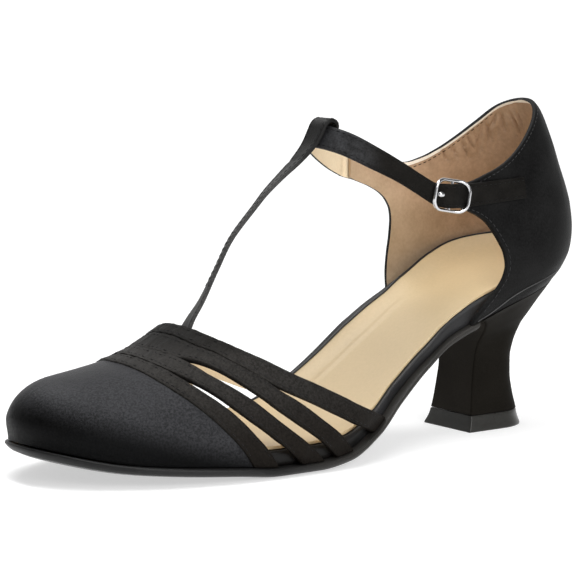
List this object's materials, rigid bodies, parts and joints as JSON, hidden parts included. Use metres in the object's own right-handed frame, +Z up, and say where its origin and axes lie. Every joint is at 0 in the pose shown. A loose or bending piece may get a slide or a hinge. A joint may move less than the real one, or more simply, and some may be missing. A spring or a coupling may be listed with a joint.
{
  "type": "dance shoe",
  "caption": "T-strap dance shoe for the left foot: closed satin toe with a fan of straps, heel cup, buckled ankle strap and flared covered heel.",
  "frame": {"origin": "on the floor under the middle of the shoe's bounding box", "axes": "+X to the toe, +Y to the outer side of the left foot, +Z up"},
  "size_m": [0.2349, 0.084, 0.1243],
  "materials": {
    "outsole_leather": "dark grey, dull",
    "insole_satin": "black wrapped satin",
    "tan_sock": "tan, smooth",
    "heel_satin": "black satin cover",
    "lift_rubber": "dark grey, half gloss",
    "vamp_satin": "black satin",
    "quarter_satin": "black satin",
    "t_strap_satin": "black satin",
    "ankle_strap_satin": "black satin",
    "buckle_chrome": "polished",
    "prong_chrome": "polished"
  },
  "bodies": {
    "root": {"outsole": "outsole_leather", "insole": "insole_satin", "sock": "tan_sock", "heel": "heel_satin", "top_lift": "lift_rubber", "vamp": "vamp_satin", "quarter": "quarter_satin", "t_strap": "t_strap_satin", "ankle_strap": "ankle_strap_satin", "buckle_frame": "buckle_chrome", "buckle_prong": "prong_chrome"}
  },
  "joints": []
}
